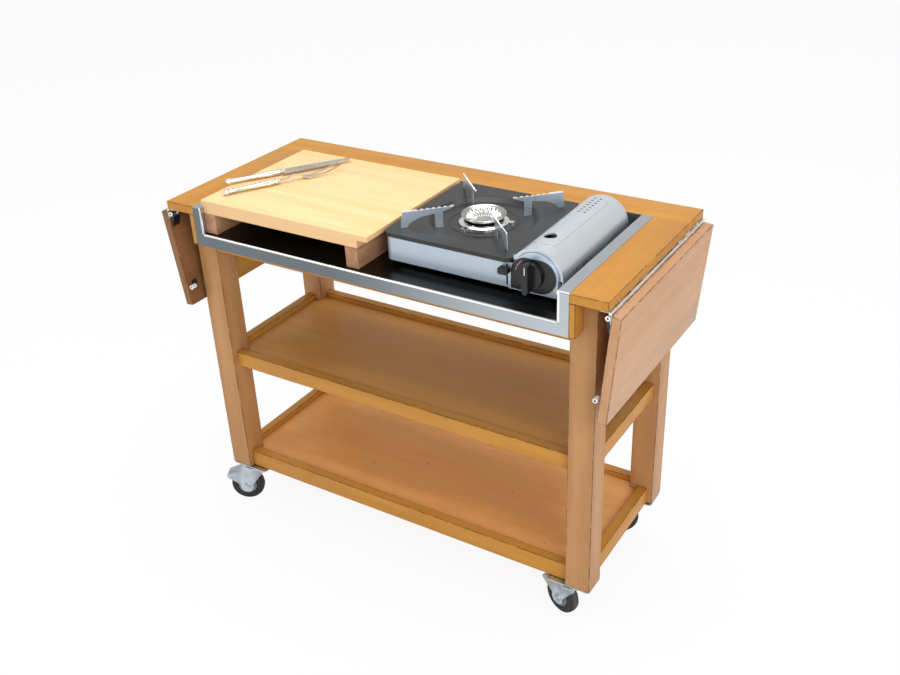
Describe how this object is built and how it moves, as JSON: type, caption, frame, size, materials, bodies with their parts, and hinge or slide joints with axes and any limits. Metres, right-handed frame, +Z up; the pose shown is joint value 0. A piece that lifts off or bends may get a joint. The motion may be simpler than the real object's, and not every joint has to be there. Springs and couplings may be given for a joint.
{
  "type": "gueridon trolley",
  "caption": "Wooden serving trolley on swivel casters with drop flaps, open railed shelves and a sunken steel well that holds a carving board and a portable gas stove.",
  "frame": {"origin": "on the floor, below the middle of the trolley", "axes": "+X to the right along the length, +Y to the back, away from the open front of the well, +Z up"},
  "size_m": [0.9886, 0.421, 0.781],
  "materials": {
    "frame_wood": "honey-stained and lacquered beech, lightly distressed",
    "flap_wood": "honey-stained and lacquered beech",
    "board_wood": "oiled pale maple",
    "runner_wood": "bare beech",
    "steel": "brushed stainless steel",
    "hinge_steel": "nickel-plated steel",
    "black_steel": "black painted steel",
    "white_nylon": "white nylon",
    "zinc": "bright zinc plate",
    "wheel_rubber": "black rubber tyre on a grey core",
    "silver": "polished silver plate",
    "stove_paint": "silver-blue metallic paint",
    "black_rubber": "black rubber",
    "enamel": "dark satin enamel",
    "burner_chrome": "chromed steel",
    "support_enamel": "grey enamelled steel with bright edges",
    "black_plastic": "black moulded plastic",
    "can_paint": "plain white painted steel"
  },
  "bodies": {
    "trolley": {"top_left": "frame_wood", "top_right": "frame_wood", "top_back": "frame_wood", "leg_front_left": "frame_wood", "leg_front_right": "frame_wood", "leg_rear_left": "frame_wood", "leg_rear_right": "frame_wood", "end_apron_left": "frame_wood", "end_apron_right": "frame_wood", "rear_apron": "frame_wood", "front_rail": "frame_wood", "well_cheeks": "frame_wood", "upper_shelf_panel": "frame_wood", "upper_rail_front": "frame_wood", "upper_rail_rear": "frame_wood", "upper_rails_end": "frame_wood", "lower_shelf_panel": "frame_wood", "lower_rail_front": "frame_wood", "lower_rail_rear": "frame_wood", "lower_rails_end": "frame_wood", "steel_well": "steel", "hinge_leaf_left": "hinge_steel", "hinge_leaf_right": "hinge_steel", "caster_plates": "zinc", "caster_screws": "zinc"},
    "flap_left": {"flap_left": "flap_wood", "flap_leaf_left": "hinge_steel", "flap_bracket_left": "black_steel", "flap_rollers_left": "white_nylon"},
    "flap_right": {"flap_right": "flap_wood", "flap_leaf_right": "hinge_steel", "flap_bracket_right": "black_steel", "flap_rollers_right": "white_nylon"},
    "board": {"cutting_board": "board_wood", "board_runners": "runner_wood"},
    "carving_knife": {"knife_handle": "silver", "knife_blade": "silver"},
    "carving_fork": {"fork_handle": "silver", "fork_tines": "silver"},
    "stove": {"stove_body": "stove_paint", "stove_feet": "black_rubber", "stove_plate": "enamel", "burner_ring": "burner_chrome", "burner_head": "burner_chrome", "pan_supports": "support_enamel", "dial_plate": "black_plastic", "gas_cartridge": "can_paint"},
    "cover": {"cartridge_cover": "stove_paint"},
    "knob": {"gas_knob": "black_plastic"},
    "lever": {"lock_lever": "black_plastic"},
    "caster_front_left": {"fork_front_left": "zinc"},
    "tyre_front_left": {"wheel_front_left": "wheel_rubber"},
    "caster_front_right": {"fork_front_right": "zinc"},
    "tyre_front_right": {"wheel_front_right": "wheel_rubber"},
    "caster_rear_left": {"fork_rear_left": "zinc"},
    "tyre_rear_left": {"wheel_rear_left": "wheel_rubber"},
    "caster_rear_right": {"fork_rear_right": "zinc"},
    "tyre_rear_right": {"wheel_rear_right": "wheel_rubber"}
  },
  "joints": [
    {"name": "flap_left_hinge", "type": "hinge", "parent": "trolley", "child": "flap_left", "pos_m": [-0.4745, 0, 0.71775], "axis": [0, 1, 0], "range_deg": [0, 97.3]},
    {"name": "flap_right_hinge", "type": "hinge", "parent": "trolley", "child": "flap_right", "pos_m": [0.4745, 0, 0.71775], "axis": [0, -1, 0], "range_deg": [0, 95.3]},
    {"name": "board_lift", "type": "slide", "parent": "trolley", "child": "board", "axis": [0, 0, 1], "range_m": [0, 0.2]},
    {"name": "knife_lift", "type": "slide", "parent": "board", "child": "carving_knife", "axis": [0, 0, 1], "range_m": [0, 0.1]},
    {"name": "fork_lift", "type": "slide", "parent": "board", "child": "carving_fork", "axis": [0, 0, 1], "range_m": [0, 0.1]},
    {"name": "stove_lift", "type": "slide", "parent": "trolley", "child": "stove", "axis": [0, 0, 1], "range_m": [0, 0.2]},
    {"name": "cover_hinge", "type": "hinge", "parent": "stove", "child": "cover", "pos_m": [0.27471, -0.02, 0.75], "axis": [0, -1, 0], "range_deg": [0, 80]},
    {"name": "knob_turn", "type": "hinge", "parent": "stove", "child": "knob", "pos_m": [0.311, -0.17, 0.7305], "axis": [0, -1, 0], "range_deg": [0, 95]},
    {"name": "lever_slide", "type": "slide", "parent": "stove", "child": "lever", "axis": [0, 0, -1], "range_m": [0, 0.018]},
    {"name": "front_left_swivel", "type": "hinge", "parent": "trolley", "child": "caster_front_left", "pos_m": [-0.396, -0.1505, 0.09], "axis": [0, 0, 1], "continuous": true},
    {"name": "front_left_roll", "type": "hinge", "parent": "caster_front_left", "child": "tyre_front_left", "pos_m": [-0.42072, -0.16365, 0.0375], "axis": [-0.4695, 0.8829, 0], "continuous": true},
    {"name": "front_right_swivel", "type": "hinge", "parent": "trolley", "child": "caster_front_right", "pos_m": [0.396, -0.1505, 0.09], "axis": [0, 0, 1], "continuous": true},
    {"name": "front_right_roll", "type": "hinge", "parent": "caster_front_right", "child": "tyre_front_right", "pos_m": [0.36986, -0.14047, 0.0375], "axis": [0.3584, 0.9336, 0], "continuous": true},
    {"name": "rear_left_swivel", "type": "hinge", "parent": "trolley", "child": "caster_rear_left", "pos_m": [-0.396, 0.1505, 0.09], "axis": [0, 0, 1], "continuous": true},
    {"name": "rear_left_roll", "type": "hinge", "parent": "caster_rear_left", "child": "tyre_rear_left", "pos_m": [-0.42158, 0.13911, 0.0375], "axis": [-0.4067, 0.9135, 0], "continuous": true},
    {"name": "rear_right_swivel", "type": "hinge", "parent": "trolley", "child": "caster_rear_right", "pos_m": [0.396, 0.1505, 0.09], "axis": [0, 0, 1], "continuous": true},
    {"name": "rear_right_roll", "type": "hinge", "parent": "caster_rear_right", "child": "tyre_rear_right", "pos_m": [0.37175, 0.1365, 0.0375], "axis": [-0.5, 0.866, 0], "continuous": true}
  ]
}
